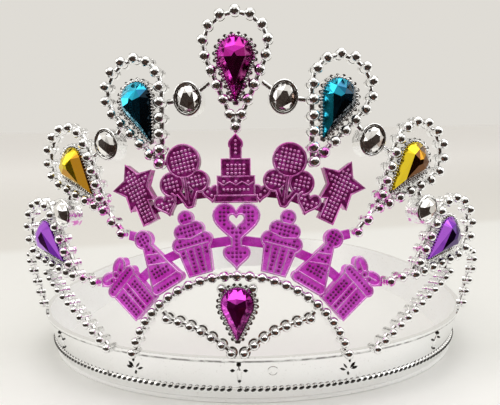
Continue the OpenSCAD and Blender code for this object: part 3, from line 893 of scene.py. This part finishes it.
bpy.ops.mesh.primitive_plane_add(size=6)
floor = bpy.context.active_object
floor.name = "floor"
table = Finish("table_top")
beyond = table.axis("Y") - edge_slant * table.axis("X")
speckle = table.grain(0.004, 3)
behind = table.blend(table.step(beyond, 0.2, 0.9), grey_behind, painted_light_far_off)
flat = table.add("ShaderNodeVectorMath", {"operation": "MULTIPLY"},
                 {0: table.place, 1: (1.2, 1, 0)})
around = table.add("ShaderNodeVectorMath", {"operation": "LENGTH"}, {0: flat}, "Value")
ahead = (1 - table.step(around, 0.11, 0.15)) * table.step(0 - table.axis("Y"), 0.03, 0.08)
near = table.blend(ahead, grey_around, painted_light_in_front)
top = table.blend(table.step(beyond, 0.16, 0.19), near, behind)
top = table.blend(speckle * 0.06, top, speckle_grey)
floor.data.materials.append(table.done(Base_Color=top, Roughness=0.45 + 0.1 * speckle,
                                       Normal=table.bump(speckle, 0.0002, 0.2)))


# The light is a pale even room with one large lamp overhead and one at each side. Dark cards
# that only reflections show stand for the unlit parts of the room that the plating mirrors.
room_colour, room_strength = (0.785, 0.76, 0.71, 1), 0.94
card_black = (0.03, 0.018, 0.013, 1)

world = bpy.data.worlds.new("room")
bpy.context.scene.world = world
world.use_nodes = True
world.node_tree.nodes["Background"].inputs["Color"].default_value = room_colour
world.node_tree.nodes["Background"].inputs["Strength"].default_value = room_strength


def lamp(name, at, aim, size, power, colour=(1, 1, 1)):
    light = bpy.data.lights.new(name, "AREA")
    light.shape = "RECTANGLE"
    light.size, light.size_y = size
    light.energy = power
    light.color = colour
    thing = bpy.data.objects.new(name, light)
    bpy.context.scene.collection.objects.link(thing)
    thing.location = at
    thing.rotation_euler = (Vector(aim) - Vector(at)).to_track_quat("-Z", "Y").to_euler()


def dark_card(name, size, at, tilt=pi / 2, turn=0.0, colour=card_black):
    """A dark card that is seen only in reflections."""
    bpy.ops.mesh.primitive_plane_add(size=1, location=at, rotation=(tilt, 0, turn))
    card = bpy.context.active_object
    card.name = name
    card.scale = (*size, 1)
    paint = Finish(name)
    card.data.materials.append(paint.done(Base_Color=colour, Roughness=0.8))
    card.visible_camera = False
    card.visible_diffuse = False
    card.visible_shadow = False
    card.visible_transmission = False


lamp("top_lamp", (0.05, -0.05, 0.8), (0, 0, 0.05), (0.9, 0.7), 2.2)
lamp("left_lamp", (-0.7, -0.25, 0.45), (0, -0.03, 0.05), (0.5, 0.5), 1.2, (1, 0.97, 0.93))
lamp("right_lamp", (0.7, -0.15, 0.4), (0, -0.03, 0.05), (0.4, 0.5), 1.0, (0.96, 0.98, 1))
dark_card("dark_front", (0.6, 0.3), (0.0, -0.33, 0.12))
dark_card("dark_near", (0.7, 0.052), (0.0, -0.145, 0.026))
dark_card("dark_floor", (0.8, 0.23), (0.0, -0.218, 0.0008), tilt=0)
dark_card("brown_near", (0.05, 0.022), (0.03, -0.144, 0.018), colour=(0.25, 0.08, 0.04, 1))
dark_card("brown_front", (0.07, 0.035), (-0.07, -0.325, 0.045), colour=(0.3, 0.11, 0.05, 1))
dark_card("dark_front_left", (0.24, 0.2), (-0.31, -0.2, 0.11), turn=radians(-56))
dark_card("dark_front_right", (0.24, 0.2), (0.31, -0.2, 0.11), turn=radians(56))
dark_card("dark_left", (0.46, 0.5), (-0.36, 0.3, 0.35), turn=radians(-50))
dark_card("dark_right", (0.46, 0.5), (0.36, 0.3, 0.35), turn=radians(50))
dark_card("dark_back", (0.9, 0.2), (0.0, 0.45, 0.42), tilt=radians(60))

bpy.context.scene.view_settings.view_transform = "Standard"
bpy.context.scene.view_settings.look = "None"


# The camera stands where the picture was taken from, a little right of the middle, and looks
# slightly down and to the left.
eye = Vector((0.01498, -0.2645, 0.0823))
dip, roll = radians(7.74), radians(-1.08)
look = Vector((-0.0619, 0.998, 0)).normalized() * cos(dip)
look.z = -sin(dip)
camera = bpy.data.objects.new("camera", bpy.data.cameras.new("camera"))
bpy.context.scene.collection.objects.link(camera)
camera.data.sensor_width = 36
camera.data.lens = 47.77
camera.data.clip_start = 0.01
camera.matrix_world = (Matrix.Translation(eye)
                       @ look.to_track_quat("-Z", "Y").to_matrix().to_4x4()
                       @ Matrix.Rotation(roll, 4, "Z"))
bpy.context.scene.camera = camera

bpy.context.view_layer.update()
